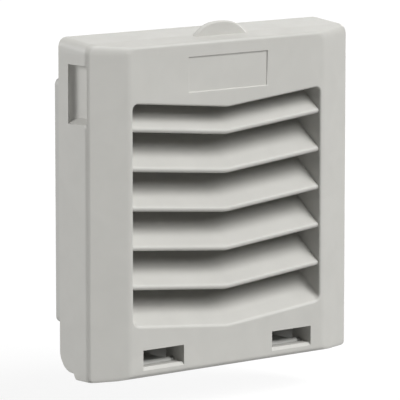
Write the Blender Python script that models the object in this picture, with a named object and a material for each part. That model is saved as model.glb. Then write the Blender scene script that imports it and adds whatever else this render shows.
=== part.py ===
# Louvred exhaust filter for an electrical cabinet. It clips into a square cut-out in the panel.
# A mounting frame with four sprung corner latches carries a guard grid, a filter mat and a
# louvred cover, which tilts forward on two hinge tongues at the bottom so the mat can be changed.
# X runs along the panel, Y runs through it into the cabinet, and Z is up. The origin is the
# centre of the cut-out, in the plane of the panel's outer face. Lengths are in metres.

import math

import bmesh
import bpy
from mathutils import Matrix, Vector

MM = 0.001
TOUCH = 0.3 * MM                    # gap left between pieces that rest on each other
OVERRUN = 2.0 * MM                  # how far a cutter runs past the face it opens
RIM_RUN_OUT = 0.1 * MM              # how far a rounding's cutter runs on past the wall it meets

# Panel cut-out and the frame's collar
CUTOUT_SIZE = 125.0 * MM
COLLAR_CLEARANCE = 0.5 * MM         # per side, between the collar and the cut-out
COLLAR_DEPTH = 19.0 * MM            # how far the collar reaches behind the panel
COLLAR_WALL = 2.0 * MM
COLLAR_CORNER_RADIUS = 2.7 * MM
BAY_SIZE = 8.0 * MM                 # square bay in each corner of the collar, for its latch

# Flange and gasket
FLANGE_THICKNESS = 2.2 * MM
FLANGE_GAP = 0.65 * MM              # between the flange's edge and the cover's wall
FLANGE_CORNER_RADIUS = 6.0 * MM
GASKET_THICKNESS = 1.2 * MM
GASKET_EDGE_INSET = 0.4 * MM
GASKET_COLLAR_GAP = 2.7 * MM

# Filter mat, its pocket and the guard grid behind it
MAT_THICKNESS = 6.2 * MM
MAT_EDGE_GAP = 0.4 * MM
MAT_EDGE_ROUNDING = 1.2 * MM
POCKET_WALL = 1.4 * MM
POCKET_LIP = 0.6 * MM               # how far the pocket's wall stands in front of the mat
POCKET_FLOOR = 0.8 * MM
GRID_THICKNESS = 1.6 * MM
GRID_EDGE_GAP = 0.4 * MM
GRID_BORDER = 3.0 * MM
GRID_BAR = 2.2 * MM
GRID_ROWS = 11
GRID_COLUMNS = 4
GRID_SHELF_WIDTH = 2.0 * MM
GRID_SHELF_THICKNESS = 1.2 * MM
MAT_REAR = 1.1 * MM                 # the mat's rear face, behind the panel's outer face

# Cover, outside
FACE_OVERLAP = 11.75 * MM           # how far the cover reaches past the cut-out on each side
COVER_DEPTH = 25.1 * MM             # from the panel to the flat middle of the front
COVER_WALL = 2.2 * MM
SIDE_DRAFT = 0.5 * MM               # the sides lean in by this much at the front
FACET_DROP = 5.8 * MM               # the outer thirds of the front fall back by this much
FACET_WIDTH = 19.25 * MM            # from the side to the flat middle
FRONT_EDGE_RADIUS = 2.4 * MM
FACET_BLEND_RADIUS = 10.0 * MM
TOP_BREAK_DEPTH = 17.7 * MM         # where the top's gentle slope turns steeper
TOP_BREAK_FALL = 1.65 * MM
TOP_FRONT_FALL = 3.85 * MM
TOP_EDGE_RADIUS = 1.6 * MM
TOP_CORNER_RADIUS = 4.0 * MM
BOTTOM_CORNER_RADIUS = 1.5 * MM
LIP_DEPTH = 14.9 * MM               # the front lip along the bottom
LIP_RISE = 2.5 * MM                 # the side walls end this much above the lip
LIP_STEP = 1.2 * MM
LIP_WALL = 2.0 * MM
LIP_FRONT_RADIUS = 2.0 * MM
HEEL_RADIUS = 7.85 * MM             # rounded lower rear corners, which clear the panel

# Louvres
OPENING_SIDE_MARGIN = 1.9 * MM      # from the flat middle's edge to the opening
OPENING_CORNER_RADIUS = 2.5 * MM
OPENING_RIM_RADIUS = 0.9 * MM       # rounding of the opening's edge in the front
RIM_CORNER_EASE = 0.4 * MM          # the rounded edge turns its corners this much wider
OPENING_TOP_MARGIN = 28.3 * MM      # from the cover's top, at the opening's ends
OPENING_BOTTOM_MARGIN = 23.2 * MM   # from the cover's lowest edge, at the opening's ends
CHEVRON_DROP = 5.1 * MM             # every louvre is this much lower in the middle
SLAT_COUNT = 5
FIRST_NOSE_DROP = 12.3 * MM         # from the opening's top to the first slat's lower edge
SLAT_SLOPE = 0.753                  # rise over run of a slat's upper face
SLAT_WALL = 1.8 * MM
SLAT_NOSE_SETBACK = 1.2 * MM        # slat noses lie this far behind the front
SLAT_NOSE_RADIUS = 1.35 * MM
SLAT_NOSE_TAPER = 4.0 * MM         # behind the nose's middle, where the slat is down to its wall
SLAT_END_GAP = TOUCH
DUCT_WALL = 1.8 * MM
ROOF_SETBACK = 1.5 * MM             # the duct's roof starts to rise this far behind the front
MAT_TO_LOUVRE = 0.9 * MM

# Blank plaque recess, hinge windows and finger recesses in the cover
PLAQUE_HALF_WIDTH = 22.1 * MM
PLAQUE_HEIGHT = 15.1 * MM
PLAQUE_GAP = 2.95 * MM              # above the opening's top
PLAQUE_DEPTH = 0.6 * MM
WINDOW_CENTRE = 36.55 * MM
WINDOW_WIDTH = 22.7 * MM
WINDOW_BOTTOM = 4.65 * MM           # above the cover's lowest edge
WINDOW_HEIGHT = 7.6 * MM
WINDOW_CHAMFER = 1.3 * MM
RECESS_REAR = 6.6 * MM              # behind it lies the plain rear part of the side
RECESS_LENGTH = 12.2 * MM
RECESS_TOP_MARGIN = 11.05 * MM      # below the cover's top
RECESS_HEIGHT = 25.8 * MM
RECESS_DEPTH = 3.0 * MM             # the rear wall rounds into the floor by as much
RECESS_RAMP = 2.8 * MM
RECESS_WALL = 1.6 * MM
RECESS_FRONT_WALL = 0.4 * MM        # the rounded corner in front adds the rest

# Hinge: tongues on the frame, cheeks in the cover
HINGE_SETBACK = 8.1 * MM            # axis behind the front of the cover
HINGE_HEIGHT = 4.2 * MM             # axis above the cover's lowest edge
TONGUE_WIDTH = 18.0 * MM
TONGUE_THICKNESS = 2.0 * MM
TONGUE_BEAD_RADIUS = 1.9 * MM
TRUNNION_RADIUS = 1.3 * MM
CHEEK_WALL = 1.8 * MM
CHEEK_REACH = 4.5 * MM              # the cheeks run on behind the axis
TONGUE_NOTCH_GAP = 0.8 * MM
TONGUE_NOTCH_FRONT = 2.4 * MM       # the lip is cut away from here, in front of the axis

# Snap catch at the top
CATCH_WIDTH = 18.0 * MM
CATCH_REACH = 9.3 * MM
CATCH_THICKNESS = 2.0 * MM
CATCH_BEAD = 1.1 * MM
CATCH_RIB_LENGTH = 22.0 * MM
CATCH_RIB_WALL = 1.3 * MM
CATCH_RIB_HEIGHT = 1.5 * MM
CATCH_SETBACK = 1.0 * MM            # the rib lies this far behind the bead

# Thumb tab on the cover's top
TAB_WIDTH = 30.0 * MM
TAB_THICKNESS = 2.3 * MM
TAB_HEIGHT = 6.2 * MM
TAB_FULLNESS = 2.8                  # power of the crown's curve; more gives a flatter top
TAB_FRONT = 19.6 * MM               # its front face, in front of the panel
TAB_EDGE_RADIUS = 0.7 * MM

# Corner latches and their pins
LATCH_PIVOT_DEPTH = 13.3 * MM       # behind the panel's outer face
LATCH_PIVOT_INSET = 2.2 * MM        # inside the collar's outer face
LATCH_KNUCKLE_RADIUS = 2.0 * MM
LATCH_FREE_END = 3.1 * MM           # room for a panel up to this thick
LATCH_CATCH = 2.3 * MM              # how far the barb stands out past the collar
LATCH_TOOTH = 0.9 * MM
LATCH_SIDE_GAP = 0.3 * MM
LATCH_EAR = 2.0 * MM
PIN_RADIUS = 0.9 * MM

ARC_STEPS = 4
FINE_ARC_STEPS = 8
ROUND_STEPS = 20

collar_half = CUTOUT_SIZE / 2 - COLLAR_CLEARANCE
bay_face = collar_half - BAY_SIZE
face_half = CUTOUT_SIZE / 2 + FACE_OVERLAP
front_y = -COVER_DEPTH
lowest_z = -face_half
flange_half = face_half - COVER_WALL - FLANGE_GAP
flange_rear = -GASKET_THICKNESS - TOUCH
flange_front = flange_rear - FLANGE_THICKNESS
mat_front = MAT_REAR - MAT_THICKNESS
pocket_half = collar_half - POCKET_WALL
pocket_front = mat_front - POCKET_LIP
pocket_floor_front = MAT_REAR + TOUCH
pocket_floor_rear = pocket_floor_front + POCKET_FLOOR
grid_front = MAT_REAR + TOUCH
grid_rear = grid_front + GRID_THICKNESS
shelf_front = grid_rear + TOUCH
shelf_rear = shelf_front + GRID_SHELF_THICKNESS
front_half = face_half - FACET_WIDTH
opening_half = front_half - OPENING_SIDE_MARGIN
opening_top = face_half - OPENING_TOP_MARGIN
opening_bottom = lowest_z + OPENING_BOTTOM_MARGIN
slat_pitch = (opening_top - FIRST_NOSE_DROP + SLAT_NOSE_RADIUS - opening_bottom) / SLAT_COUNT
louvre_rear = mat_front - MAT_TO_LOUVRE
nose_y = front_y + SLAT_NOSE_SETBACK
plaque_bottom = opening_top + PLAQUE_GAP
recess_top = face_half - RECESS_TOP_MARGIN
hinge_y = front_y + HINGE_SETBACK
hinge_z = lowest_z + HINGE_HEIGHT
window_low = lowest_z + WINDOW_BOTTOM
window_high = window_low + WINDOW_HEIGHT
lip_rear = front_y + LIP_DEPTH
trunnion_bore = TRUNNION_RADIUS + TOUCH
pin_bore = PIN_RADIUS + TOUCH
latch_pivot_x = collar_half - LATCH_PIVOT_INSET
latch_low = bay_face + LATCH_SIDE_GAP
ear_inner = collar_half - LATCH_EAR
latch_high = ear_inner - LATCH_SIDE_GAP


def clear_scene():
    for item in list(bpy.data.objects):
        bpy.data.objects.remove(item, do_unlink=True)


def plastic(name, red, green, blue, roughness):
    """A plain Principled material with one colour."""
    material = bpy.data.materials.new(name)
    material.use_nodes = True
    shader = material.node_tree.nodes["Principled BSDF"]
    shader.inputs["Base Color"].default_value = (red, green, blue, 1.0)
    shader.inputs["Roughness"].default_value = roughness
    shader.inputs["Metallic"].default_value = 0.0
    return material


def steel(name, grey, roughness):
    material = plastic(name, grey, grey, grey, roughness)
    material.node_tree.nodes["Principled BSDF"].inputs["Metallic"].default_value = 1.0
    return material


def mesh_object(name, bm, material=None):
    """Turn a bmesh into an object whose faces point outwards."""
    bmesh.ops.recalc_face_normals(bm, faces=bm.faces)
    mesh = bpy.data.meshes.new(name)
    bm.to_mesh(mesh)
    bm.free()
    item = bpy.data.objects.new(name, mesh)
    bpy.context.collection.objects.link(item)
    if material is not None:
        mesh.materials.append(material)
    return item


def loft(name, sections, material=None):
    """Join equal rings of points into one closed solid, with a face over each end."""
    bm = bmesh.new()
    rings = [[bm.verts.new(point) for point in section] for section in sections]
    bm.faces.new(list(reversed(rings[0])))
    bm.faces.new(rings[-1])
    for near, far in zip(rings, rings[1:]):
        for i in range(len(near)):
            j = (i + 1) % len(near)
            bm.faces.new((near[i], near[j], far[j], far[i]))
    return mesh_object(name, bm, material)


def prism_x(name, outline_yz, x_low, x_high, material=None):
    return loft(name, [[(x, y, z) for y, z in outline_yz] for x in (x_low, x_high)], material)


def prism_y(name, outline_xz, y_low, y_high, material=None):
    return loft(name, [[(x, y, z) for x, z in outline_xz] for y in (y_low, y_high)], material)


def prism_z(name, outline_xy, z_low, z_high, material=None):
    return loft(name, [[(x, y, z) for x, y in outline_xy] for z in (z_low, z_high)], material)


def box(name, low, high, material=None):
    outline = [(low[0], low[2]), (high[0], low[2]), (high[0], high[2]), (low[0], high[2])]
    return prism_y(name, outline, low[1], high[1], material)


def rod(name, axis, centre, radius, low, high, material=None):
    """A round bar along X or Z. The centre is given in the other two directions."""
    ring = [(centre[0] + radius * math.cos(2 * math.pi * i / ROUND_STEPS),
             centre[1] + radius * math.sin(2 * math.pi * i / ROUND_STEPS))
            for i in range(ROUND_STEPS)]
    if axis == "X":
        return prism_x(name, ring, low, high, material)
    return prism_z(name, ring, low, high, material)


def combine(target, tool, operation):
    """Apply one Boolean to the target and throw the tool away."""
    modifier = target.modifiers.new("combine", "BOOLEAN")
    modifier.operation = operation
    modifier.object = tool
    depsgraph = bpy.context.evaluated_depsgraph_get()
    result = bpy.data.meshes.new_from_object(target.evaluated_get(depsgraph))
    target.modifiers.remove(modifier)
    old_mesh = target.data
    target.data = result
    result.name = target.name
    bpy.data.meshes.remove(old_mesh)
    bpy.data.objects.remove(tool, do_unlink=True)


def join(target, *tools):
    for tool in tools:
        combine(target, tool, "UNION")


def cut(target, *tools):
    for tool in tools:
        combine(target, tool, "DIFFERENCE")


def arc(centre, radius, start_deg, end_deg, steps):
    """Points along an arc in a plane, with both ends."""
    points = []
    for i in range(steps + 1):
        angle = math.radians(start_deg + (end_deg - start_deg) * i / steps)
        points.append((centre[0] + radius * math.cos(angle), centre[1] + radius * math.sin(angle)))
    return points


def fillet(before, corner, after, radius, steps):
    """The arc that rounds one corner of an open or closed outline."""
    corner = Vector(corner)
    to_before = (Vector(before) - corner).normalized()
    to_after = (Vector(after) - corner).normalized()
    half_angle = to_before.angle(to_after) / 2
    centre = corner + (to_before + to_after).normalized() * (radius / math.sin(half_angle))
    start = corner + to_before * (radius / math.tan(half_angle)) - centre
    end = corner + to_after * (radius / math.tan(half_angle)) - centre
    points = []
    for i in range(steps + 1):
        direction = start.lerp(end, i / steps).normalized()
        points.append(tuple(centre + direction * radius))
    return points


def rounded_path(points, radii, steps):
    """An open outline whose inner corners are rounded by the given radii."""
    path = [points[0]]
    for i in range(1, len(points) - 1):
        if radii[i - 1] > 0:
            path += fillet(points[i - 1], points[i], points[i + 1], radii[i - 1], steps)
        else:
            path.append(points[i])
    path.append(points[-1])
    return path


def rounded_loop(points, radius, steps):
    """A closed outline with every corner rounded alike."""
    count = len(points)
    loop = []
    for i in range(count):
        loop += fillet(points[i - 1], points[i], points[(i + 1) % count], radius, steps)
    return loop


def offset_path(points, distance):
    """Shift an open outline sideways, to its left as seen along it, with mitred corners."""
    normals = []
    for start, end in zip(points, points[1:]):
        along = (Vector(end) - Vector(start)).normalized()
        normals.append(Vector((-along.y, along.x)))
    shifted = [tuple(Vector(points[0]) + normals[0] * distance)]
    for i in range(1, len(points) - 1):
        mitre = (normals[i - 1] + normals[i]).normalized()
        reach = distance / mitre.dot(normals[i])
        shifted.append(tuple(Vector(points[i]) + mitre * reach))
    shifted.append(tuple(Vector(points[-1]) + normals[-1] * distance))
    return shifted


def value_at(path, y):
    """Read the second coordinate of a path at y. Paths run from the rear (+Y) forwards."""
    for (y_rear, rear_value), (y_next, next_value) in zip(path, path[1:]):
        if y_next <= y <= y_rear and y_rear > y_next:
            share = (y_rear - y) / (y_rear - y_next)
            return rear_value + (next_value - rear_value) * share
    return path[0][1] if y > path[0][0] else path[-1][1]


def square(half):
    return [(half, -half), (half, half), (-half, half), (-half, -half)]


def notched_square(half, notch, radius):
    """A square with a square bay out of each corner, so that it is cross-shaped."""
    quarter = [(half, 0.0)]
    quarter += fillet((half, 0.0), (half, notch), (notch, notch), radius, ARC_STEPS)
    quarter.append((notch, notch))
    quarter += fillet((notch, notch), (notch, half), (0.0, half), radius, ARC_STEPS)
    outline = []
    for turn in range(4):
        cosine, sine = ((1, 0), (0, 1), (-1, 0), (0, -1))[turn]
        outline += [(x * cosine - z * sine, x * sine + z * cosine) for x, z in quarter]
    return outline


def section_ring(y, half_width, top, bottom, top_radius, bottom_radius):
    """One upright section through the cover, with rounded corners."""
    ring = arc((half_width - top_radius, top - top_radius), top_radius, 0, 90, ARC_STEPS)
    ring += arc((-half_width + top_radius, top - top_radius), top_radius, 90, 180, ARC_STEPS)
    ring += arc((-half_width + bottom_radius, bottom + bottom_radius), bottom_radius, 180, 270, 2)
    ring += arc((half_width - bottom_radius, bottom + bottom_radius), bottom_radius, 270, 360, 2)
    return [(x, y, z) for x, z in ring]


def plan_path(inset, rear_y):
    """Half width of the cover against Y, from the rear to the flat front."""
    path = [(rear_y, face_half), (front_y + FACET_DROP, face_half - SIDE_DRAFT),
            (front_y, front_half), (front_y, 0.0)]
    return offset_path(path, inset)


def top_path(inset, rear_y):
    """Height of the cover's top against Y, with its two slopes."""
    path = [(rear_y, face_half), (-TOP_BREAK_DEPTH, face_half - TOP_BREAK_FALL),
            (front_y, face_half - TOP_FRONT_FALL), (front_y, 0.0)]
    return offset_path(path, inset)


def bottom_path():
    """Lower edge of the cover against Y: heel, side wall, step and front lip."""
    heel = arc((-HEEL_RADIUS, lowest_z + LIP_RISE + HEEL_RADIUS), HEEL_RADIUS, 0, -90, FINE_ARC_STEPS)
    steps = [heel[-1], (lip_rear + LIP_STEP, lowest_z + LIP_RISE), (lip_rear, lowest_z),
             (front_y, lowest_z), (front_y, 0.0)]
    radii = [0.4 * LIP_STEP, 0.6 * LIP_STEP, LIP_FRONT_RADIUS]
    return heel[:-1] + rounded_path(steps, radii, 3)[:-1]


def loft_along_y(name, plan, top, bottom, top_radius, bottom_radius):
    """Loft the cover's sections through every Y at which one of its outlines turns."""
    front = min(y for y, _ in plan)
    stations = sorted({round(y, 7) for path in (plan, top, bottom) for y, _ in path if y >= front},
                      reverse=True)
    sections = []
    for y in stations:
        half_width = value_at(plan, y)
        sections.append(section_ring(y, half_width, value_at(top, y), value_at(bottom, y),
                                     top_radius, bottom_radius))
    return loft(name, sections)


def cover_body():
    """The cover's outer form as one solid."""
    plan = rounded_path(plan_path(0.0, 0.0), [FRONT_EDGE_RADIUS, FACET_BLEND_RADIUS], ARC_STEPS)
    top = rounded_path(top_path(0.0, 0.0), [0.0, TOP_EDGE_RADIUS], ARC_STEPS)
    return loft_along_y("cover_shell", plan[:-1], top[:-1], bottom_path(),
                        TOP_CORNER_RADIUS, BOTTOM_CORNER_RADIUS)


def cover_hollow():
    """The space inside the cover, open at the rear and, behind the lip, at the bottom."""
    plan = rounded_path(plan_path(COVER_WALL, OVERRUN), [FRONT_EDGE_RADIUS / 2, 0.0], 2)
    top = rounded_path(top_path(COVER_WALL, OVERRUN), [0.0, 0.0], 2)
    inside_front = front_y + COVER_WALL
    below = lowest_z - OVERRUN
    lip_top = lowest_z + LIP_WALL
    bottom = [(OVERRUN, below), (lip_rear, below), (lip_rear - 0.01 * MM, lip_top),
              (inside_front, lip_top)]
    return loft_along_y("cover_hollow", plan[:-1], top[:-1], bottom,
                        TOP_CORNER_RADIUS - COVER_WALL, 0.5 * BOTTOM_CORNER_RADIUS)


def chevron_shift(x, half_width):
    """How much lower than at its ends a louvre lies at x."""
    return CHEVRON_DROP * (1.0 - abs(x) / half_width)


def chevron_loft(name, half_width, outline_at, corner_radius=0.0):
    """Loft a louvre outline across the opening, lower in the middle.

    outline_at(inset) gives the (y, z) outline, drawn in by inset near rounded corners.
    """
    stations = [(half_width, 0.0)]
    if corner_radius > 0:
        stations = [(half_width - corner_radius * (1 - math.cos(angle)),
                     corner_radius * (1 - math.sin(angle)))
                    for angle in [math.pi / 2 * i / ARC_STEPS for i in range(ARC_STEPS + 1)]]
    stations += [(0.0, 0.0)]
    stations += [(-x, inset) for x, inset in reversed(stations[:-1])]
    sections = []
    for x, inset in stations:
        drop = chevron_shift(x, half_width)
        sections.append([(x, y, z - drop) for y, z in outline_at(inset)])
    return loft(name, sections)


def airway(half_width, wall, front, rear, corner_radius):
    """The passage through the louvres, or with a wall the block round that passage.

    Its roof and its sill rise towards the rear like the slats.
    """
    wall_height = wall * math.sqrt(1 + SLAT_SLOPE ** 2)
    roof_start = front_y + ROOF_SETBACK

    def outline_at(inset):
        high = opening_top + wall_height - inset
        low = opening_bottom - wall_height + inset
        start = max(front, front_y)
        outline = [(start, low + SLAT_SLOPE * (start - front_y)),
                   (rear, low + SLAT_SLOPE * (rear - front_y)),
                   (rear, high + SLAT_SLOPE * (rear - roof_start)), (roof_start, high), (front, high)]
        if front < front_y:
            outline.append((front, low))
        return outline

    return chevron_loft("airway", half_width, outline_at, corner_radius)


def opening_rim():
    """Cutter that flares the opening's front end, so that its edge comes out rounded."""
    rounding = arc((OPENING_RIM_RADIUS, OPENING_RIM_RADIUS), OPENING_RIM_RADIUS, 180, 270, ARC_STEPS)
    before_last, last = rounding[-2:]
    run_out = 1 + RIM_RUN_OUT / before_last[1]
    beyond = [before + (end - before) * run_out for before, end in zip(before_last, last)]
    flare = [(-OVERRUN, OPENING_RIM_RADIUS)] + rounding[:-1] + [beyond]
    sections = []
    for depth, spread in flare:
        low = opening_bottom - spread + SLAT_SLOPE * max(depth, 0.0)
        radius = OPENING_CORNER_RADIUS + RIM_CORNER_EASE + spread
        corner = arc((opening_half + spread - radius, -radius), radius, 0, 90, FINE_ARC_STEPS)
        upper = [(x, opening_top + spread + z) for x, z in corner] + [(0.0, opening_top + spread)]
        lower = [(x, low - z) for x, z in corner] + [(0.0, low)]
        ring = upper + [(-x, z) for x, z in reversed(upper[:-1])]
        ring += [(-x, z) for x, z in lower[:-1]] + list(reversed(lower))
        sections.append([(x, front_y + depth, z - chevron_shift(x, opening_half)) for x, z in ring])
    return loft("opening_rim", sections)


def slat_outline():
    """Section through a slat, from the rear end down its upper face and round the full nose."""
    radius = SLAT_NOSE_RADIUS
    middle = nose_y + radius
    lean = math.degrees(math.atan(SLAT_SLOPE))
    nose = arc((middle, radius), radius, 90 + lean, 285, FINE_ARC_STEPS)
    face_y, face_z = nose[0]
    rear_top = face_z + SLAT_SLOPE * (louvre_rear - face_y)
    slope_drop = SLAT_WALL * math.sqrt(1 + SLAT_SLOPE ** 2)
    taper_end = middle + SLAT_NOSE_TAPER
    return [(louvre_rear, rear_top)] + nose + [
        (taper_end, face_z + SLAT_SLOPE * (taper_end - face_y) - slope_drop),
        (louvre_rear, rear_top - slope_drop)]


def louvre_slat(number, material):
    """One chevron slat, held between the duct's side walls."""
    height = opening_top - FIRST_NOSE_DROP - (number - 1) * slat_pitch
    outline = [(y, z + height) for y, z in slat_outline()]
    slat = chevron_loft("louvre_slat_%d" % number, opening_half - SLAT_END_GAP,
                        lambda inset: outline)
    slat.data.materials.append(material)
    return slat


def add_duct(cover):
    """Side walls, roof and sill that carry the slats, then the opening itself."""
    inside_front = front_y + COVER_WALL / 2
    join(cover, airway(opening_half + DUCT_WALL, DUCT_WALL, inside_front, louvre_rear, 0.0))
    cut(cover, airway(opening_half, 0.0, front_y - OVERRUN, louvre_rear + OVERRUN,
                      OPENING_CORNER_RADIUS))
    cut(cover, opening_rim())


def add_finger_recesses(cover):
    """A grip in each side near the top, with a ramp at its lower end."""
    rear_y = -RECESS_REAR
    front = rear_y - RECESS_LENGTH
    low, high = recess_top - RECESS_HEIGHT, recess_top
    surface = face_half - SIDE_DRAFT * RECESS_REAR / (COVER_DEPTH - FACET_DROP)
    back = surface - RECESS_DEPTH - RECESS_WALL
    outside = surface + OVERRUN
    ramp_foot = low - RECESS_RAMP * OVERRUN / RECESS_DEPTH
    rounding = arc((rear_y - RECESS_DEPTH, 0.0), RECESS_DEPTH, 0, 90, FINE_ARC_STEPS)
    depths = [(rear_y, rounding[1][1])] + rounding[2:] + [(front, RECESS_DEPTH)]
    for side in (-1, 1):
        block_x = sorted((side * back, side * (face_half - COVER_WALL)))
        join(cover, box("pocket", (block_x[0], front - RECESS_FRONT_WALL, low - RECESS_RAMP),
                        (block_x[1], rear_y + RECESS_WALL, high + RECESS_WALL)))
        sections = []
        for y, depth in depths:
            floor = surface - depth
            sections.append([(side * outside, y, high), (side * floor, y, high),
                             (side * floor, y, low + RECESS_RAMP * depth / RECESS_DEPTH),
                             (side * outside, y, ramp_foot)])
        cut(cover, loft("recess", sections))


def add_hinge_side(cover):
    """Windows, cheeks with trunnion bores, and notches that let the tongues swing."""
    for side in (-1, 1):
        centre = side * WINDOW_CENTRE
        half = WINDOW_WIDTH / 2
        for end in (-1, 1):
            inner = centre + end * half
            outer = inner + end * CHEEK_WALL
            join(cover, box("cheek", (min(inner, outer), front_y + COVER_WALL / 2, lowest_z + LIP_WALL / 2),
                            (max(inner, outer), hinge_y + CHEEK_REACH, window_high + LIP_WALL / 2)))
        join(cover, box("window_sill", (centre - half, front_y + COVER_WALL / 2, lowest_z + LIP_WALL / 2),
                        (centre + half, hinge_y - TONGUE_NOTCH_FRONT, window_low)))
        wall_rear = front_y + COVER_WALL + TOUCH
        window = [(front_y - OVERRUN, window_high),
                  (front_y - OVERRUN, window_low - WINDOW_CHAMFER - OVERRUN),
                  (front_y + WINDOW_CHAMFER, window_low), (wall_rear, window_low), (wall_rear, window_high)]
        cut(cover, prism_x("window", window, centre - half, centre + half))
        cut(cover, rod("bore", "X", (hinge_y, hinge_z), trunnion_bore,
                       centre - half - CHEEK_WALL - OVERRUN, centre + half + CHEEK_WALL + OVERRUN))
        notch_half = TONGUE_WIDTH / 2 + TONGUE_NOTCH_GAP
        cut(cover, box("notch", (centre - notch_half, hinge_y - TONGUE_NOTCH_FRONT, lowest_z - OVERRUN),
                       (centre + notch_half, lip_rear + OVERRUN, window_low)))


def add_plaque(cover):
    """A shallow blank recess above the louvres."""
    cut(cover, box("plaque", (-PLAQUE_HALF_WIDTH, front_y - OVERRUN, plaque_bottom),
                   (PLAQUE_HALF_WIDTH, front_y + PLAQUE_DEPTH, plaque_bottom + PLAQUE_HEIGHT)))


def top_height(y):
    return value_at(top_path(0.0, 0.0)[:-1], y)


def tab_crown(inset):
    """The tab's outline above its base, from one foot over the flattened crown to the other."""
    half_width, height = TAB_WIDTH / 2 - inset, TAB_HEIGHT - inset
    crown = []
    for i in range(2 * FINE_ARC_STEPS + 1):
        share = math.cos(math.pi * i / (2 * FINE_ARC_STEPS))
        crown.append((half_width * share, height * (1 - abs(share) ** TAB_FULLNESS)))
    return crown


def add_thumb_tab(cover):
    """A flat round-topped tab that the thumb pulls to tip the cover forward."""
    tab_y = -TAB_FRONT
    base = top_height(tab_y)
    root = base - COVER_WALL / 2
    sections = []
    for y, inset in ((tab_y, TAB_EDGE_RADIUS), (tab_y + TAB_EDGE_RADIUS, 0.0),
                     (tab_y + TAB_THICKNESS - TAB_EDGE_RADIUS, 0.0), (tab_y + TAB_THICKNESS, TAB_EDGE_RADIUS)):
        crown = [(x, base + z) for x, z in tab_crown(inset)]
        outline = [(crown[0][0], root)] + crown + [(crown[-1][0], root)]
        sections.append([(x, y, z) for x, z in outline])
    join(cover, loft("thumb_tab", sections))


def catch_bead_y():
    return flange_front - CATCH_REACH + CATCH_BEAD


def catch_height():
    """Top of the catch's bead, just under the cover's rib."""
    rib_y = catch_bead_y() + CATCH_BEAD + CATCH_SETBACK
    return top_height(rib_y) - COVER_WALL - CATCH_RIB_HEIGHT - TOUCH


def add_catch_rib(cover):
    """The rib under the top that snaps behind the frame's catch."""
    rib_y = catch_bead_y() + CATCH_BEAD + CATCH_SETBACK
    join(cover, box("rib", (-CATCH_RIB_LENGTH / 2, rib_y, catch_height() + TOUCH),
                    (CATCH_RIB_LENGTH / 2, rib_y + CATCH_RIB_WALL, top_height(rib_y) - COVER_WALL / 2)))


def cover_shell(material):
    cover = cover_body()
    cut(cover, cover_hollow())
    add_duct(cover)
    add_finger_recesses(cover)
    add_hinge_side(cover)
    add_catch_rib(cover)
    add_thumb_tab(cover)
    add_plaque(cover)
    cover.data.materials.clear()
    cover.data.materials.append(material)
    return cover


def add_hinge_tongues(frame):
    """Two tongues that reach under the cover's windows and carry its trunnions."""
    for side in (-1, 1):
        centre = side * WINDOW_CENTRE
        low, high = centre - TONGUE_WIDTH / 2, centre + TONGUE_WIDTH / 2
        root_y = (flange_front + flange_rear) / 2
        join(frame, box("tongue", (low, hinge_y, hinge_z - TONGUE_THICKNESS / 2),
                        (high, root_y, hinge_z + TONGUE_THICKNESS / 2)))
        join(frame, rod("bead", "X", (hinge_y, hinge_z), TONGUE_BEAD_RADIUS, low, high))
        reach = WINDOW_WIDTH / 2 + CHEEK_WALL - TOUCH
        join(frame, rod("trunnion", "X", (hinge_y, hinge_z), TRUNNION_RADIUS,
                        centre - reach, centre + reach))


def add_catch(frame):
    """The springy tongue at the top, with a bead that holds the cover shut."""
    bead_y = catch_bead_y()
    top = catch_height() - CATCH_BEAD
    root_y = (flange_front + flange_rear) / 2
    bead = arc((bead_y, top), CATCH_BEAD, 0, 180, FINE_ARC_STEPS)
    outline = [(root_y, top)] + bead + [(bead_y - CATCH_BEAD, top - CATCH_THICKNESS),
                                        (root_y, top - CATCH_THICKNESS)]
    join(frame, prism_x("catch", outline, -CATCH_WIDTH / 2, CATCH_WIDTH / 2))


def add_latch_ears(frame):
    """The outer ear of each latch, then the pin bores through ear and bay wall."""
    ear_radius = LATCH_KNUCKLE_RADIUS + TOUCH
    for side in (-1, 1):
        pivot = (side * latch_pivot_x, LATCH_PIVOT_DEPTH)
        root_x = side * (bay_face - COLLAR_WALL / 2)
        start, end = (90, -90) if side > 0 else (90, 270)
        nose = arc(pivot, ear_radius, start, end, FINE_ARC_STEPS)
        outline = [(root_x, pivot[1] + ear_radius)] + nose + [(root_x, pivot[1] - ear_radius)]
        for level in (-1, 1):
            ear_z = sorted((level * ear_inner, level * collar_half))
            join(frame, prism_z("ear", outline, ear_z[0], ear_z[1]))
            bore_z = sorted((level * (bay_face - COLLAR_WALL - TOUCH), level * (collar_half + TOUCH)))
            cut(frame, rod("bore", "Z", pivot, pin_bore, bore_z[0], bore_z[1]))


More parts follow.
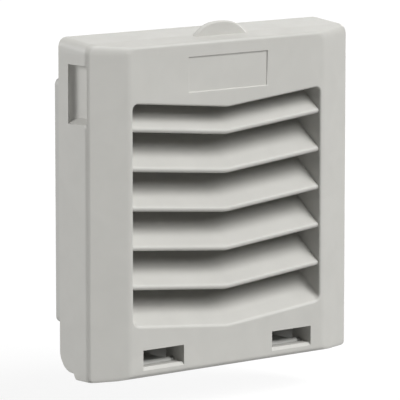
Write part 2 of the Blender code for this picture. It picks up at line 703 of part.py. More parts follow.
def mounting_frame(material):
    """Flange, mat pocket and notched collar in one moulding."""
    wall_inner = collar_half - COLLAR_WALL
    notch_inner = bay_face - COLLAR_WALL
    frame = prism_y("mounting_frame", rounded_loop(square(flange_half), FLANGE_CORNER_RADIUS, ARC_STEPS),
                    flange_front, flange_rear)
    join(frame, prism_y("pocket", square(collar_half), pocket_front, pocket_floor_rear))
    join(frame, prism_y("collar", notched_square(collar_half, bay_face, COLLAR_CORNER_RADIUS),
                        pocket_front + POCKET_WALL, COLLAR_DEPTH))
    cut(frame, prism_y("pocket_space", square(pocket_half), pocket_front - OVERRUN, pocket_floor_front))
    inner_radius = COLLAR_CORNER_RADIUS - COLLAR_WALL
    cut(frame, prism_y("grid_space", notched_square(wall_inner, notch_inner, inner_radius),
                       pocket_floor_front - TOUCH, shelf_front))
    shelf = GRID_SHELF_WIDTH
    cut(frame, prism_y("shelf_space", notched_square(wall_inner - shelf, notch_inner - shelf, inner_radius),
                       shelf_front - TOUCH, shelf_rear + TOUCH))
    cut(frame, prism_y("collar_space", notched_square(wall_inner, notch_inner, inner_radius),
                       shelf_rear, COLLAR_DEPTH + OVERRUN))
    add_hinge_tongues(frame)
    add_catch(frame)
    add_latch_ears(frame)
    frame.data.materials.clear()
    frame.data.materials.append(material)
    return frame


def flange_gasket(material):
    """A foam ring between the flange and the panel."""
    outer_half = flange_half - GASKET_EDGE_INSET
    inner_half = collar_half + GASKET_COLLAR_GAP
    gasket = prism_y("flange_gasket", rounded_loop(square(outer_half), FLANGE_CORNER_RADIUS, ARC_STEPS),
                     -GASKET_THICKNESS, 0.0, material)
    cut(gasket, prism_y("middle", square(inner_half), -GASKET_THICKNESS - OVERRUN, OVERRUN))
    return gasket


def guard_grid(material):
    """A notched plate with rows of slots, which carries the mat and keeps fingers out."""
    half = collar_half - COLLAR_WALL - GRID_EDGE_GAP
    notch = bay_face - COLLAR_WALL - GRID_EDGE_GAP
    grid = prism_y("guard_grid", notched_square(half, notch, COLLAR_CORNER_RADIUS - COLLAR_WALL),
                   grid_front, grid_rear, material)
    row_pitch = 2 * (half - GRID_BORDER + GRID_BAR / 2) / GRID_ROWS
    slots = bmesh.new()
    for row in range(GRID_ROWS):
        centre_z = (row - (GRID_ROWS - 1) / 2) * row_pitch
        slot_half = (row_pitch - GRID_BAR) / 2
        beside_bay = abs(centre_z) + slot_half + GRID_BORDER > notch
        reach = (notch if beside_bay else half) - GRID_BORDER
        column_pitch = 2 * (reach + GRID_BAR / 2) / GRID_COLUMNS
        for column in range(GRID_COLUMNS):
            centre_x = (column - (GRID_COLUMNS - 1) / 2) * column_pitch
            size = Vector((column_pitch - GRID_BAR, 2 * (GRID_THICKNESS + OVERRUN), 2 * slot_half))
            place = Matrix.Translation((centre_x, grid_front + GRID_THICKNESS / 2, centre_z))
            bmesh.ops.create_cube(slots, size=1.0, matrix=place @ Matrix.Diagonal(size).to_4x4())
    cut(grid, mesh_object("slots", slots))
    return grid


def filter_mat(material):
    """A square of fleece, which fills the pocket between the cover and the guard grid."""
    half = pocket_half - MAT_EDGE_GAP
    inset = MAT_EDGE_ROUNDING
    rings = [(mat_front, half - inset), (mat_front + inset, half),
             (MAT_REAR - inset, half), (MAT_REAR, half - inset)]
    return loft("filter_mat", [[(x, y, z) for x, z in rounded_loop(square(size), inset, 2)]
                               for y, size in rings], material)


def latch_outline():
    """Section through a latch for the +X side, about its pivot: knuckle, ramp, barb, free end."""
    radius = LATCH_KNUCKLE_RADIUS
    crest = LATCH_PIVOT_INSET + LATCH_CATCH
    reach = LATCH_PIVOT_DEPTH - LATCH_FREE_END
    tooth_step = LATCH_TOOTH
    knuckle = arc((0.0, 0.0), radius, 0, 180, FINE_ARC_STEPS)
    return knuckle + [(-0.45 * radius, -0.5 * reach), (0.4 * radius, -reach),
                      (crest - tooth_step, -reach), (crest - tooth_step, tooth_step - reach),
                      (crest, tooth_step - reach), (crest, 2 * tooth_step - reach)]


def corner_latch(name, side, level, material):
    """A barbed lever in one bay. It turns on its pin, and its free end faces the panel."""
    half_width = (latch_high - latch_low) / 2
    latch = prism_z(name, latch_outline(), -half_width, half_width, material)
    cut(latch, rod("bore", "Z", (0.0, 0.0), pin_bore, -half_width - OVERRUN, half_width + OVERRUN))
    latch.location = (side * latch_pivot_x, LATCH_PIVOT_DEPTH, level * (latch_low + latch_high) / 2)
    if side < 0:
        latch.rotation_euler = (0.0, math.pi, 0.0)
    return latch


def latch_pin(name, side, level, material):
    """The pin that one latch turns on. It is pressed into the ear and the bay's wall."""
    low = bay_face - COLLAR_WALL + TOUCH
    half_length = (collar_half - TOUCH - low) / 2
    pin = rod(name, "Z", (0.0, 0.0), PIN_RADIUS, -half_length, half_length, material)
    pin.location = (side * latch_pivot_x, LATCH_PIVOT_DEPTH, level * (low + half_length))


def hang_on_hinge(pieces):
    """Parent the cover's pieces to an empty that lies on the hinge axis."""
    hinge = bpy.data.objects.new("cover_hinge_axis", None)
    hinge.location = (0.0, hinge_y, hinge_z)
    bpy.context.collection.objects.link(hinge)
    for piece in pieces:
        piece.data.transform(Matrix.Translation(-hinge.location))
        piece.parent = hinge


def build():
    clear_scene()
    cover_grey = plastic("cover grey ABS", 0.53, 0.53, 0.50, 0.45)
    frame_grey = plastic("frame grey ABS", 0.50, 0.50, 0.48, 0.5)
    latch_grey = plastic("latch grey acetal", 0.42, 0.42, 0.41, 0.4)
    foam = plastic("gasket foam", 0.03, 0.03, 0.03, 0.9)
    fleece = plastic("filter fleece", 0.12, 0.12, 0.11, 0.95)
    pin_steel = steel("pin steel", 0.6, 0.3)
    slats = [louvre_slat(number, cover_grey) for number in range(1, SLAT_COUNT + 1)]
    hang_on_hinge([cover_shell(cover_grey)] + slats)
    mounting_frame(frame_grey)
    guard_grid(frame_grey)
    flange_gasket(foam)
    filter_mat(fleece)
    for side, side_name in ((-1, "left"), (1, "right")):
        for level, level_name in ((1, "upper"), (-1, "lower")):
            corner = "%s_%s" % (level_name, side_name)
            corner_latch("corner_latch_" + corner, side, level, latch_grey)
            latch_pin("latch_pin_" + corner, side, level, pin_steel)

build()
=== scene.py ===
# %% [markdown]
# # A louvred exhaust filter for a cabinet
# The part is a grey plastic cover with five slats, which clips on a frame in a square hole in a
# cabinet's door. The solids and their joints are loaded first. They stay where they are, and every
# piece made here takes its place from them, in metres, with +Y going into the cabinet and +Z up.

# %% Load the solids
import math

import bpy
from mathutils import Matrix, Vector


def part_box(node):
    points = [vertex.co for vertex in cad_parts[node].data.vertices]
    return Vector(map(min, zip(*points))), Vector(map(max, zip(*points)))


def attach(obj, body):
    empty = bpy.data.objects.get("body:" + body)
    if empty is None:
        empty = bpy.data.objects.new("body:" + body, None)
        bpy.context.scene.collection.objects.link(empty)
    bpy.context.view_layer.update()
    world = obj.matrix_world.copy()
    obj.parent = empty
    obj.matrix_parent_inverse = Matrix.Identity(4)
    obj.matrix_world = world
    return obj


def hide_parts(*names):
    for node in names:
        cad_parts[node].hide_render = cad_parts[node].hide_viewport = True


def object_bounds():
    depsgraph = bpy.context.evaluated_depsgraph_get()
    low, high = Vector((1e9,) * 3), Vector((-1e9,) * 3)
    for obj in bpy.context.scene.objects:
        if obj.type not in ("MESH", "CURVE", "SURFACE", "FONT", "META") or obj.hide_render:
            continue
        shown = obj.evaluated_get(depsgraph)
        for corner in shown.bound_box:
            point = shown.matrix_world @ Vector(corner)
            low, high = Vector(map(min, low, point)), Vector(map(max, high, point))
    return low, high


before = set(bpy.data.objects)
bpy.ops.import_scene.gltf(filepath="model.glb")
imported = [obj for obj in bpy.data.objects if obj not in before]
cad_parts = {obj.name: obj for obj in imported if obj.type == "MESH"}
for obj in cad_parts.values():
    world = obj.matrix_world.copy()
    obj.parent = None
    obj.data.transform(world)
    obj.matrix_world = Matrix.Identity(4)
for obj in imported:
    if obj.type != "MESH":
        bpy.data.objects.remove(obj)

MM = 0.001
lowest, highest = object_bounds()
print("solids:", len(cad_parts))

# %% [markdown]
# Two small helpers come first. Blender's operators act on everything that is selected, so `only`
# makes one object the whole selection. Colours are written as the hex codes that a colour picker
# shows, and `colour` turns such a code into the linear values that shaders use.

# %% Helpers for selecting and for colours
def only(obj):
    bpy.ops.object.select_all(action="DESELECT")
    obj.select_set(True)
    bpy.context.view_layer.objects.active = obj


def colour(code):
    parts = [int(code[i:i + 2], 16) / 255 for i in (1, 3, 5)]
    return [p / 12.92 if p <= 0.04045 else ((p + 0.055) / 1.055) ** 2.4 for p in parts] + [1.0]


print("mid grey in linear:", [round(c, 3) for c in colour("#808080")])

# %% [markdown]
# The photograph was taken from the left, a little above the middle, with a long lens. A long lens
# keeps the far side nearly as tall as the near side. The angle, the distance and the lens were
# fitted together, to the cover's outline and to eleven corners inside it.

# %% Camera
camera_data = bpy.data.cameras.new("camera")
camera_data.lens = 331.48
camera_data.sensor_width = 36.0
camera_data.clip_end = 20.0
camera = bpy.data.objects.new("camera", camera_data)
bpy.context.scene.collection.objects.link(camera)
camera.location = Vector((-1019.5, -1258.92, 236.66)) * MM
camera.rotation_euler = (math.radians(90 - 8.425), 0.0, -math.radians(39.115))
bpy.context.scene.camera = camera
bpy.context.scene.view_settings.view_transform = "Standard"
print("camera distance in mm:", round(camera.location.length / MM))

# %% [markdown]
# A node material is a small graph. The helper below adds one node to a graph, sets its properties
# and plain inputs, and links its other inputs. The floor and the world have the same two sides to
# them. Rays from the camera, and rays that shiny or clear things send on, see white. All others see
# the dim grey of a real studio, so that the white doesn't light the object from below. The part
# hangs in a door, and its cover swings down past its own lower edge, so the floor lies a little
# below it.

# %% Node helper, floor and world
ROOM_LIGHT = 0.03
FLOOR_SIZE = 6.0                    # metres
FLOOR_DROP = 18.5 * MM              # below the part's lowest edge
FLOOR_GLOW = 0.88                   # what the floor's shading lacks to look white


def add_node(tree, kind, settings=None, **links):
    """Add a node, set its properties or inputs, and link its inputs to other nodes' outputs."""
    node = tree.nodes.new(kind)
    for key, value in (settings or {}).items():
        if hasattr(node, key):
            setattr(node, key, value)
        else:
            node.inputs[key].default_value = value
    for key, source in links.items():
        tree.links.new(source, node.inputs[key.replace("_", " ")])
    return node


def seen_or_unseen(tree, seen, unseen, output):
    """Show one shader to camera, glossy and transmission rays, and another to the rest."""
    path = add_node(tree, "ShaderNodeLightPath")
    either = path.outputs["Is Camera Ray"]
    for kind in ("Is Glossy Ray", "Is Transmission Ray"):
        widest = add_node(tree, "ShaderNodeMath", {"operation": "MAXIMUM"})
        tree.links.new(either, widest.inputs[0])
        tree.links.new(path.outputs[kind], widest.inputs[1])
        either = widest.outputs["Value"]
    mix = add_node(tree, "ShaderNodeMixShader", Fac=either)
    tree.links.new(unseen.outputs[0], mix.inputs[1])
    tree.links.new(seen.outputs[0], mix.inputs[2])
    add_node(tree, output, Surface=mix.outputs[0])


world = bpy.data.worlds.new("studio")
bpy.context.scene.world = world
world.use_nodes = True
tree = world.node_tree
tree.nodes.clear()
white = add_node(tree, "ShaderNodeBackground", {"Color": colour("#FFFFFF"), "Strength": 1.0})
room = add_node(tree, "ShaderNodeBackground", {"Color": colour("#FFFFFF"), "Strength": ROOM_LIGHT})
seen_or_unseen(tree, white, room, "ShaderNodeOutputWorld")

bpy.ops.mesh.primitive_plane_add(size=FLOOR_SIZE, location=(0.0, 0.0, lowest.z - FLOOR_DROP))
floor = bpy.context.object
floor.name = "studio_floor"
paper = bpy.data.materials.new("white studio paper")
paper.use_nodes = True
tree = paper.node_tree
tree.nodes.clear()
shaded = add_node(tree, "ShaderNodeBsdfDiffuse", {"Color": colour("#6D6D6D")})
glow = add_node(tree, "ShaderNodeEmission", {"Color": colour("#FFFFFF"), "Strength": FLOOR_GLOW})
bright = add_node(tree, "ShaderNodeAddShader")
tree.links.new(shaded.outputs[0], bright.inputs[0])
tree.links.new(glow.outputs[0], bright.inputs[1])
grey = add_node(tree, "ShaderNodeBsdfDiffuse", {"Color": colour("#A6A6A6")})
seen_or_unseen(tree, bright, grey, "ShaderNodeOutputMaterial")
floor.data.materials.append(paper)
print("floor at z =", round(floor.location.z / MM, 1), "mm")

# %% [markdown]
# The lamps were matched to how bright each face of the cover is in the photograph. The front is
# bright and evenly lit, so two lamps stand in front, the stronger one high up to the right. The
# left side is nearly as bright as the front, so another one stands behind the left shoulder. Two
# weak ones on the right add a little. Each softbox is far away and large, and a sun lamp with a
# wide angle does the same job.

# %% Lamps
# name, elevation and azimuth in degrees, strength, and the angle that the softbox fills in degrees
LAMPS = (("front", 33, 10, 1.26, 28),
         ("front right, high", 52, 26, 1.98, 28),
         ("right", 35, 60, 0.3, 28),
         ("left shoulder", 17, -130, 2.15, 36),
         ("right shoulder", 14, 120, 0.5, 28))


def softbox(name, elevation, azimuth, strength, spread):
    """A far softbox. Azimuth 0 is straight in front of the louvres, and grows to the right."""
    data = bpy.data.lights.new(name, "SUN")
    data.energy = strength
    data.angle = math.radians(spread)
    lamp = bpy.data.objects.new(name, data)
    bpy.context.scene.collection.objects.link(lamp)
    up, turn = math.radians(elevation), math.radians(azimuth)
    towards = Vector((math.sin(turn) * math.cos(up), -math.cos(turn) * math.cos(up), math.sin(up)))
    lamp.rotation_euler = towards.to_track_quat("Z", "Y").to_euler()


for lamp in LAMPS:
    softbox(*lamp)
print("lamps:", [lamp[0] for lamp in LAMPS])

# %% [markdown]
# The cover, its slats and the frame are injection moulded in ABS. The mould's walls are
# spark-eroded, which leaves a fine, even grain on the plastic and makes its shine dull. The grain
# is about 0.15 mm across, finer than a pixel here, so it is drawn 0.45 mm wide and very shallow.
# Handling polishes the corners a little, and they are painted a little lighter, partly for that
# wear and partly as a painted highlight where the rounded edges catch the light. The melt leaves
# faint cloudy flow marks. All the patterns use Object coordinates, which are metres here, so a
# noise of scale 1 / size has features of about that size.

# %% Moulded plastics
FLOW_MARK = 14 * MM                 # size of the clouds, a percent or two lighter and darker
SHINE_PATCH = 5 * MM
# the corner band is polished, and also painted lighter as wear and as a painted highlight
WORN_AND_HIGHLIGHTED_CORNER = 0.6 * MM              # how wide a corner is polished
CORNER_WEAR_AND_HIGHLIGHT = 0.05
CORNER_SMOOTHER = 0.1
SHINE_CHANGE = 0.04
ABS_IOR, ACETAL_IOR = 1.53, 1.48


def moulded_plastic(name, code, roughness, grain, depth, ior):
    """A plastic with a fine grain, faint flow marks and slightly polished corners, painted lighter
    for wear and as a painted highlight.
    """
    material = bpy.data.materials.new(name)
    material.use_nodes = True
    tree = material.node_tree
    shader = tree.nodes["Principled BSDF"]
    shader.inputs["IOR"].default_value = ior
    place = add_node(tree, "ShaderNodeTexCoord").outputs["Object"]

    # flow marks
    flow = add_node(tree, "ShaderNodeTexNoise",
                    {"Scale": 1 / FLOW_MARK, "Detail": 3.0, "Distortion": 0.6}, Vector=place)
    level = add_node(tree, "ShaderNodeMapRange",
                     {"From Min": 0.3, "From Max": 0.7, "To Min": 0.975, "To Max": 1.02},
                     Value=flow.outputs["Fac"])
    # corners: where a blurred normal points another way than the true one
    normal = add_node(tree, "ShaderNodeNewGeometry").outputs["Normal"]
    blurred = add_node(tree, "ShaderNodeBevel", {"samples": 4, "Radius": WORN_AND_HIGHLIGHTED_CORNER})
    same = add_node(tree, "ShaderNodeVectorMath", {"operation": "DOT_PRODUCT"})
    tree.links.new(normal, same.inputs[0])
    tree.links.new(blurred.outputs["Normal"], same.inputs[1])
    corner = add_node(tree, "ShaderNodeMapRange",
                      {"From Min": 1.0, "From Max": 0.9, "To Min": 0.0, "To Max": 1.0},
                      Value=same.outputs["Value"])
    # corners painted lighter: partly wear, partly a painted highlight along the rounded edges
    lift = add_node(tree, "ShaderNodeMath", {"operation": "MULTIPLY_ADD"})
    tree.links.new(corner.outputs["Result"], lift.inputs[0])
    lift.inputs[1].default_value = CORNER_WEAR_AND_HIGHLIGHT
    tree.links.new(level.outputs["Result"], lift.inputs[2])
    tint = add_node(tree, "ShaderNodeVectorMath", {"operation": "SCALE"},
                    Scale=lift.outputs["Value"])
    tint.inputs[0].default_value = colour(code)[:3]
    tree.links.new(tint.outputs["Vector"], shader.inputs["Base Color"])

    # shine: duller and less dull patches, with the corners a little smoother
    patches = add_node(tree, "ShaderNodeTexNoise", {"Scale": 1 / SHINE_PATCH, "Detail": 2.0},
                       Vector=place)
    dull = add_node(tree, "ShaderNodeMapRange",
                    {"From Min": 0.3, "From Max": 0.7, "To Min": roughness - SHINE_CHANGE,
                     "To Max": roughness + SHINE_CHANGE}, Value=patches.outputs["Fac"])
    polish = add_node(tree, "ShaderNodeMath", {"operation": "MULTIPLY_ADD"})
    tree.links.new(corner.outputs["Result"], polish.inputs[0])
    polish.inputs[1].default_value = -CORNER_SMOOTHER
    tree.links.new(dull.outputs["Result"], polish.inputs[2])
    tree.links.new(polish.outputs["Value"], shader.inputs["Roughness"])

    # the spark-eroded grain
    pits = add_node(tree, "ShaderNodeTexNoise", {"Scale": 1 / grain, "Detail": 1.0}, Vector=place)
    bump = add_node(tree, "ShaderNodeBump", {"Strength": 1.0, "Distance": depth},
                    Height=pits.outputs["Fac"])
    tree.links.new(bump.outputs["Normal"], shader.inputs["Normal"])
    return material


cover_abs = moulded_plastic("spark-textured ABS, light grey", "#C3C2BD",
                            0.5, 0.45 * MM, 0.01 * MM, ABS_IOR)
frame_abs = moulded_plastic("spark-textured ABS, frame grey", "#BEBEBA",
                            0.52, 0.45 * MM, 0.012 * MM, ABS_IOR)
latch_acetal = moulded_plastic("moulded acetal, grey", "#AEAEAC",
                               0.36, 0.8 * MM, 0.004 * MM, ACETAL_IOR)
print("plastics:", cover_abs.name, "|", frame_abs.name, "|", latch_acetal.name)

# %% [markdown]
# The gasket is punched from black closed-cell foam. Its skin shows the cells as small blisters
# about 0.7 mm apart, so a Voronoi pattern of that size lifts the surface, and the foam hardly
# shines. The latch pins are bright drawn steel. Drawing pulls fine scratches along the wire, so
# the noise for them is stretched along Z, and the steel's shine varies with it.

# %% Foam and steel
CELL = 0.7 * MM
BLISTER_HEIGHT = 0.08 * MM
SCRATCH = 0.1 * MM
SCRATCH_STRETCH = 30                # times longer along the wire than across it

gasket_foam = bpy.data.materials.new("closed-cell foam, black")
gasket_foam.use_nodes = True
tree = gasket_foam.node_tree
foam_shader = tree.nodes["Principled BSDF"]
foam_shader.inputs["Roughness"].default_value = 0.85
place = add_node(tree, "ShaderNodeTexCoord").outputs["Object"]
cells = add_node(tree, "ShaderNodeTexVoronoi", {"feature": "F1", "Scale": 1 / CELL}, Vector=place)
blister = add_node(tree, "ShaderNodeMapRange",
                   {"From Min": 0.0, "From Max": 0.8, "To Min": 1.0, "To Max": 0.0},
                   Value=cells.outputs["Distance"])
foam_bump = add_node(tree, "ShaderNodeBump", {"Strength": 1.0, "Distance": BLISTER_HEIGHT},
                     Height=blister.outputs["Result"])
tree.links.new(foam_bump.outputs["Normal"], foam_shader.inputs["Normal"])
# painted shade: the foam is painted darker in the creases between the blisters and lighter on their
# tops
foam_painted_crease_shade = add_node(tree, "ShaderNodeMix", {"data_type": "RGBA"})
tree.links.new(blister.outputs["Result"], foam_painted_crease_shade.inputs["Factor"])
foam_painted_crease_shade.inputs["A"].default_value = colour("#141414")
foam_painted_crease_shade.inputs["B"].default_value = colour("#2A2A2A")
tree.links.new(foam_painted_crease_shade.outputs["Result"], foam_shader.inputs["Base Color"])

pin_steel = bpy.data.materials.new("bright drawn steel")
pin_steel.use_nodes = True
tree = pin_steel.node_tree
steel_shader = tree.nodes["Principled BSDF"]
steel_shader.inputs["Metallic"].default_value = 1.0
steel_shader.inputs["Base Color"].default_value = colour("#C6C5C2")
place = add_node(tree, "ShaderNodeTexCoord").outputs["Object"]
along = add_node(tree, "ShaderNodeMapping", {"Scale": (1.0, 1.0, 1 / SCRATCH_STRETCH)},
                 Vector=place)
scratches = add_node(tree, "ShaderNodeTexNoise", {"Scale": 1 / SCRATCH, "Detail": 3.0},
                     Vector=along.outputs["Vector"])
steel_shine = add_node(tree, "ShaderNodeMapRange", {"To Min": 0.18, "To Max": 0.42},
                       Value=scratches.outputs["Fac"])
tree.links.new(steel_shine.outputs["Result"], steel_shader.inputs["Roughness"])
print("foam and steel:", gasket_foam.name, "|", pin_steel.name)

# %% [markdown]
# The solids have sharp edges, and a moulded part never has. Rounded edges catch the light as thin
# bright lines, and that is most of what makes a plain grey part look real. A solid's mesh is loose
# triangles, so a copy is welded first and its flat areas are joined into whole faces. Then the
# outward edges get a small bevel. A Weighted Normal modifier keeps the large faces flat and puts
# all the smooth shading into the narrow ones.

# %% Helpers for welding, rounding and shading
import bmesh

WELD = 0.005 * MM
LARGE_FACE = (6 * MM) ** 2          # two faces above this area keep the fold between them crisp


def moulding(node_name, body, slot, material):
    """A welded copy of one solid that stands for it."""
    piece = bpy.data.objects.new(node_name + "_moulding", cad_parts[node_name].data.copy())
    bpy.context.scene.collection.objects.link(piece)
    piece.data.materials.clear()
    piece.data.materials.append(material)
    only(piece)
    bpy.ops.object.mode_set(mode="EDIT")
    bpy.ops.mesh.select_all(action="SELECT")
    bpy.ops.mesh.remove_doubles(threshold=WELD)
    bpy.ops.mesh.dissolve_limited(angle_limit=math.radians(0.3))
    bpy.ops.object.mode_set(mode="OBJECT")
    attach(piece, body)
    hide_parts(node_name)
    return piece


def bevel_edges(piece, width, segments, wanted):
    """Bevel the edges for which wanted(edge) is true, and return their number."""
    only(piece)
    bpy.ops.object.mode_set(mode="EDIT")
    bpy.ops.mesh.select_mode(type="EDGE")
    bpy.ops.mesh.select_all(action="DESELECT")
    bm = bmesh.from_edit_mesh(piece.data)
    chosen = [edge for edge in bm.edges if len(edge.link_faces) == 2 and wanted(edge)]
    for edge in chosen:
        edge.select_set(True)
    bmesh.update_edit_mesh(piece.data)
    if chosen:
        bpy.ops.mesh.bevel(offset=width, segments=segments, affect="EDGES", clamp_overlap=True)
    bpy.ops.object.mode_set(mode="OBJECT")
    return len(chosen)


def outward(shortest):
    """A test for sharp outward edges that are longer than shortest."""
    return lambda edge: (edge.is_convex and edge.calc_face_angle(0) > math.radians(35)
                         and edge.calc_length() > shortest)


def smooth(piece):
    """Smooth shading that leaves the large faces flat and the folds between them crisp."""
    only(piece)
    bpy.ops.object.mode_set(mode="EDIT")
    bpy.ops.mesh.select_mode(type="EDGE")
    bpy.ops.mesh.select_all(action="DESELECT")
    bm = bmesh.from_edit_mesh(piece.data)
    for edge in bm.edges:
        if (len(edge.link_faces) == 2 and edge.calc_face_angle(0) > math.radians(3)
                and min(face.calc_area() for face in edge.link_faces) > LARGE_FACE):
            edge.select_set(True)
    bmesh.update_edit_mesh(piece.data)
    bpy.ops.mesh.mark_sharp()
    bpy.ops.object.mode_set(mode="OBJECT")
    bpy.ops.object.shade_smooth_by_angle(angle=math.radians(32), keep_sharp_edges=True)
    weigh = piece.modifiers.new("flat faces", "WEIGHTED_NORMAL")
    weigh.keep_sharp = True
    bpy.ops.object.modifier_apply(modifier=weigh.name)


print("helpers:", [helper.__name__ for helper in (moulding, bevel_edges, outward, smooth)])

# %% [markdown]
# The cover's side and front are tall faces with a recess in them, and there the smooth shading
# runs along thin triangles from one end to the other. So the faces are cut across first, above
# and below the finger recesses and the hinge windows and level with the plaque's top. The rim of
# the plaque and the front rims of the finger recesses show as soft lines in the photograph, so
# they get a wider bevel, before all other edges get theirs.

# %% Cover
CUT_LEVELS = [level * MM for level in (67.5, 64.0, 36.2, 33.0, -56.0, -70.2)]
FRONT = -25.05 * MM                 # just behind the flat middle of the front
PLAQUE_SIDE = 22.3 * MM             # these three lie just outside the plaque
PLAQUE_LOW, PLAQUE_HIGH = 47.9 * MM, 66.0 * MM
RECESS_FRONT = -18.8 * MM           # the front end of the finger recesses
RECESS_LOW, RECESS_HIGH = 37 * MM, 64 * MM
PLAQUE_RIM, RECESS_RIM, OTHER_EDGES = 0.42 * MM, 0.4 * MM, 0.25 * MM


def cut_across(piece, heights):
    """Cut all of a piece's faces at some heights."""
    only(piece)
    bpy.ops.object.mode_set(mode="EDIT")
    for height in heights:
        bpy.ops.mesh.select_all(action="SELECT")
        bpy.ops.mesh.bisect(plane_co=(0.0, 0.0, height), plane_no=(0.0, 0.0, 1.0))
    bpy.ops.object.mode_set(mode="OBJECT")


def on_plaque_rim(edge):
    return edge.is_convex and all(
        vertex.co.y < FRONT and abs(vertex.co.x) < PLAQUE_SIDE
        and PLAQUE_LOW < vertex.co.z < PLAQUE_HIGH for vertex in edge.verts)


def on_recess_rim(edge):
    return edge.is_convex and edge.calc_face_angle(0) > 0.6 and edge.calc_length() > 8 * MM and all(
        abs(vertex.co.y - RECESS_FRONT) < 0.3 * MM
        and RECESS_LOW < vertex.co.z < RECESS_HIGH for vertex in edge.verts)


cover = moulding("cover_shell", "cover", "cover_grey", cover_abs)
cut_across(cover, CUT_LEVELS)
rims = bevel_edges(cover, PLAQUE_RIM, 2, on_plaque_rim)
grips = bevel_edges(cover, RECESS_RIM, 2, on_recess_rim)
print("wider rims on the plaque and the finger recesses:", rims, grips)
rounded = bevel_edges(cover, OTHER_EDGES, 2, outward(0.9 * MM))
smooth(cover)
print("cover: edges rounded", rounded, "faces", len(cover.data.polygons))

# %% [markdown]
# The five slats are moulded in one piece with the cover. Each solid stops 0.3 mm short of the
# duct's walls, so the ends of its copy are moved out until they meet them. A slat folds in the
# middle, and the real fold is a soft bend, so that edge gets a wider bevel.

# %% Slats
END_GAP = 0.3 * MM
FOLD_WIDTH = 1.4 * MM


def at_fold(edge):
    return all(abs(vertex.co.x) < 0.02 * MM for vertex in edge.verts)


def slat_moulding(node_name):
    """A slat that reaches the duct's walls, and the number of its folds that were rounded."""
    slat = moulding(node_name, "cover", "cover_grey", cover_abs)
    low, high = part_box(node_name)
    for side in (-1, 1):
        only(slat)
        bpy.ops.object.mode_set(mode="EDIT")
        bpy.ops.mesh.select_mode(type="VERT")
        bpy.ops.mesh.select_all(action="DESELECT")
        bm = bmesh.from_edit_mesh(slat.data)
        for vertex in bm.verts:
            vertex.select_set(side * vertex.co.x > high[0] - 0.05 * MM)
        bm.select_flush(True)
        bmesh.update_edit_mesh(slat.data)
        bpy.ops.transform.translate(value=(side * END_GAP, 0.0, 0.0))
        bpy.ops.object.mode_set(mode="OBJECT")
    folds = bevel_edges(slat, FOLD_WIDTH, 3, at_fold)
    smooth(slat)
    return folds


print("fold edges:", [slat_moulding("louvre_slat_%d" % number) for number in range(1, 6)])

# %% [markdown]
# The mounting frame, the guard grid behind the mat, the latches, their pins and the gasket are
# seen from the side and from behind, and when the cover is open. They are made in the same way,
# with a smaller bevel because their ribs are thin.

# %% Frame, grid, latches, pins and gasket
rear_frame = moulding("mounting_frame", "frame", "frame_grey", frame_abs)
print("frame edges:", bevel_edges(rear_frame, 0.2 * MM, 1, outward(1.5 * MM)))
smooth(rear_frame)
grid = moulding("guard_grid", "frame", "frame_grey", frame_abs)
print("grid edges:", bevel_edges(grid, 0.2 * MM, 1, outward(1.0 * MM)))
smooth(grid)
gasket = moulding("flange_gasket", "frame", "gasket_foam", gasket_foam)
print("gasket edges:", bevel_edges(gasket, 0.25 * MM, 2, outward(1.0 * MM)))
smooth(gasket)
for corner in ("upper_left", "upper_right", "lower_left", "lower_right"):
    latch = moulding("corner_latch_" + corner, "latch_" + corner, "latch_grey", latch_acetal)
    edges = bevel_edges(latch, 0.2 * MM, 2, outward(0.6 * MM))
    smooth(latch)
    pin = moulding("latch_pin_" + corner, "frame", "pin_steel", pin_steel)
    ends = bevel_edges(pin, 0.12 * MM, 1, outward(0.1 * MM))
    smooth(pin)
    print("latch", corner, "edges", edges, "pin edges", ends)

# %% [markdown]
# The filter mat is a needled fleece of thick polyester fibres. It is coloured dark grey here as
# painted shade, which keeps the depths behind the slats dark. It is a cushion: cut a little large,
# it bulges between the edges that hold it. The mat starts as a block a little
# smaller than the solid that it stands for, remeshed into an even grid. A short cloth simulation
# with some pressure swells it. Then two noises push the surface in and out, which gives the lumps
# and tufts of fibre, and each point that passes the solid's box is put back on its side.

# %% Fleece mat
from mathutils import noise

FREE_PLAY = Vector((0.8, 1.6, 0.8)) * MM    # how much smaller than the solid the block starts
GRID_STEP = 2.2 * MM
PRESSURE = 3.0
CLOTH_STEPS = 12
MOST_SWELL = 0.7 * MM
LUMP, LUMP_HEIGHT = 7 * MM, 0.25 * MM
TUFT, TUFT_HEIGHT = 2 * MM, 0.18 * MM

mat_low, mat_high = [Vector(corner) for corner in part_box("filter_mat")]
bpy.ops.object.select_all(action="DESELECT")
bpy.ops.mesh.primitive_cube_add(size=1.0, location=(mat_low + mat_high) / 2)
fleece = bpy.context.object
fleece.name = "fleece_mat"
fleece.scale = mat_high - mat_low - FREE_PLAY
bpy.ops.object.transform_apply(location=True, rotation=True, scale=True)
bpy.ops.object.mode_set(mode="EDIT")
bpy.ops.mesh.select_all(action="SELECT")
bpy.ops.mesh.bevel(offset=1.0 * MM, segments=2, affect="EDGES")
bpy.ops.object.mode_set(mode="OBJECT")
remesh = fleece.modifiers.new("even grid", "REMESH")
remesh.mode = "VOXEL"
remesh.voxel_size = GRID_STEP
bpy.ops.object.modifier_apply(modifier=remesh.name)
start = [vertex.co.copy() for vertex in fleece.data.vertices]
swell = fleece.modifiers.new("swell", "CLOTH")
swell.settings.use_pressure = True
swell.settings.uniform_pressure_force = PRESSURE
swell.settings.effector_weights.gravity = 0.0
for step in range(1, CLOTH_STEPS + 1):
    bpy.context.scene.frame_set(step)
bpy.ops.object.modifier_apply(modifier=swell.name)
bpy.context.scene.frame_set(1)
furthest = 0.0
for vertex, before in zip(fleece.data.vertices, start):
    move = vertex.co - before
    if move.length > MOST_SWELL:
        move = move.normalized() * MOST_SWELL
    furthest = max(furthest, move.length)
    vertex.co = before + move
finer = fleece.modifiers.new("finer", "SUBSURF")
finer.levels = finer.render_levels = 1
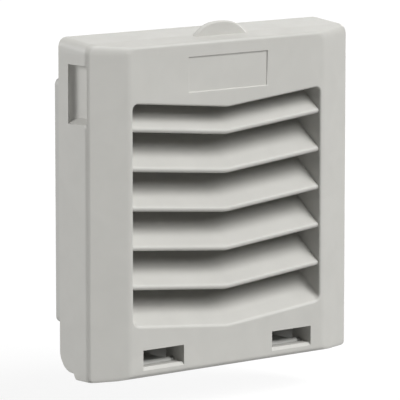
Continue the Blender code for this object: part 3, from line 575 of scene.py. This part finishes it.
bpy.ops.object.modifier_apply(modifier=finer.name)
normals = [vertex.normal.copy() for vertex in fleece.data.vertices]
for vertex, normal in zip(fleece.data.vertices, normals):
    lumps = noise.noise(vertex.co / LUMP) * LUMP_HEIGHT
    tufts = noise.noise(vertex.co / TUFT) * TUFT_HEIGHT
    spot = vertex.co + normal * (lumps + tufts)
    vertex.co = [min(max(spot[axis], mat_low[axis]), mat_high[axis]) for axis in range(3)]
only(fleece)
bpy.ops.object.shade_smooth()
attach(fleece, "frame")
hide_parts("filter_mat")
print("mat faces:", len(fleece.data.polygons), "furthest move mm: %.2f" % (furthest / MM))

# %% [markdown]
# The fleece's fibres are some 0.05 mm thick and curl in all directions. They are drawn about four
# times coarser: the edges of a distorted Voronoi pattern are thin curly lines that cross each
# other, and the gaps between them are painted darker, as painted shade between the fibres.
# Loose fibres also scatter light at grazing angles, which the sheen gives.

# %% Fleece material
CURL = 1.5 * MM
CURL_REACH = 1.2 * MM               # how far a strand wanders to the side
STRAND_SPACING = 1.1 * MM
STRAND_HEIGHT = 0.25 * MM

needled_fleece = bpy.data.materials.new("needled polyester fleece, dark grey as painted shade")
needled_fleece.use_nodes = True
tree = needled_fleece.node_tree
fleece_shader = tree.nodes["Principled BSDF"]
fleece_shader.inputs["Roughness"].default_value = 0.95
fleece_shader.inputs["Specular IOR Level"].default_value = 0.2
fleece_shader.inputs["Sheen Weight"].default_value = 0.15
place = add_node(tree, "ShaderNodeTexCoord").outputs["Object"]
curl = add_node(tree, "ShaderNodeTexNoise", {"Scale": 1 / CURL, "Detail": 2.0}, Vector=place)
bend = add_node(tree, "ShaderNodeVectorMath", {"operation": "MULTIPLY_ADD"})
tree.links.new(curl.outputs["Color"], bend.inputs[0])
bend.inputs[1].default_value = (CURL_REACH, CURL_REACH, CURL_REACH)
tree.links.new(place, bend.inputs[2])
strands = add_node(tree, "ShaderNodeTexVoronoi",
                   {"feature": "DISTANCE_TO_EDGE", "Scale": 1 / STRAND_SPACING},
                   Vector=bend.outputs["Vector"])
fibre = add_node(tree, "ShaderNodeMapRange",
                 {"From Min": 0.0, "From Max": 0.16, "To Min": 1.0, "To Max": 0.0},
                 Value=strands.outputs["Distance"])
# painted shade: the gaps between the strands are painted darker than the strands
fleece_fibre_and_gap_shade = add_node(tree, "ShaderNodeMix", {"data_type": "RGBA"})
tree.links.new(fibre.outputs["Result"], fleece_fibre_and_gap_shade.inputs["Factor"])
# dark grey overall: painted shade standing in for the darkness deep behind the slats
fleece_fibre_and_gap_shade.inputs["A"].default_value = colour("#2C2A22")
fleece_fibre_and_gap_shade.inputs["B"].default_value = colour("#5C584B")
tree.links.new(fleece_fibre_and_gap_shade.outputs["Result"], fleece_shader.inputs["Base Color"])
fleece_bump = add_node(tree, "ShaderNodeBump", {"Strength": 1.0, "Distance": STRAND_HEIGHT},
                       Height=fibre.outputs["Result"])
tree.links.new(fleece_bump.outputs["Normal"], fleece_shader.inputs["Normal"])
fleece.data.materials.clear()
fleece.data.materials.append(needled_fleece)
print("fleece:", needled_fleece.name)
